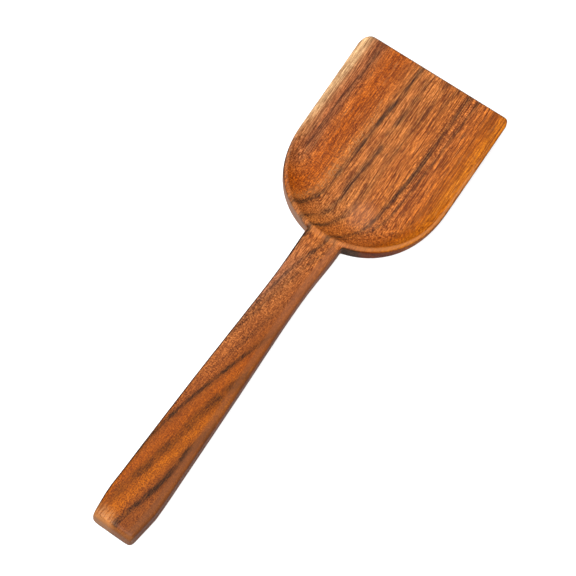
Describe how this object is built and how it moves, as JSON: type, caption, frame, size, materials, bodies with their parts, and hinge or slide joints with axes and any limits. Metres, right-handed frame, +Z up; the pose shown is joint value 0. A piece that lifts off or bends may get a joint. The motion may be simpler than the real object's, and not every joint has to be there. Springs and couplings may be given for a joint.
{
  "type": "wooden spatula",
  "caption": "Wooden scoop spatula carved from one piece: a wide, straight-edged blade hollowed into a shallow bowl, with a flared, flat-topped handle.",
  "frame": {"origin": "under the middle of the spatula as it lies on a table, at the table's surface", "axes": "+X across the blade, +Y along the spatula from the handle to the front edge, +Z up, out of the hollow of the blade"},
  "size_m": [0.0958, 0.3208, 0.0155],
  "materials": {
    "oiled_wood": "satin, oiled"
  },
  "bodies": {
    "root": {"spatula": "oiled_wood"}
  },
  "joints": []
}
